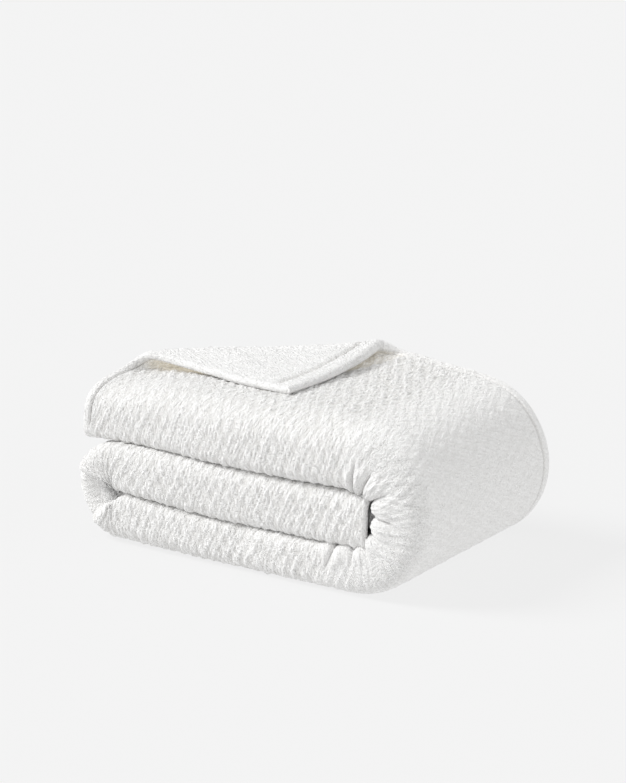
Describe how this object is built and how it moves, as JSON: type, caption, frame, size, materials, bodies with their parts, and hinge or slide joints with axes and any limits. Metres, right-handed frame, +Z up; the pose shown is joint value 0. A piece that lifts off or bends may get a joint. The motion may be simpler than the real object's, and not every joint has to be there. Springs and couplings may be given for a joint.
{
  "type": "weighted blanket",
  "caption": "Thick woven throw, folded lengthways and rolled over into a flat stack, with one corner of its top ply turned back.",
  "frame": {"origin": "centre of the footprint, on the surface the blanket lies on", "axes": "+X along the rolled strip towards the closed wrap, +Y from the long front folds to the back hems, +Z up"},
  "size_m": [0.516, 0.3106, 0.233],
  "materials": {
    "white_cotton": "matte, puffed double weave with a plain nubby reverse"
  },
  "bodies": {
    "root": {"blanket": "white_cotton"}
  },
  "joints": []
}
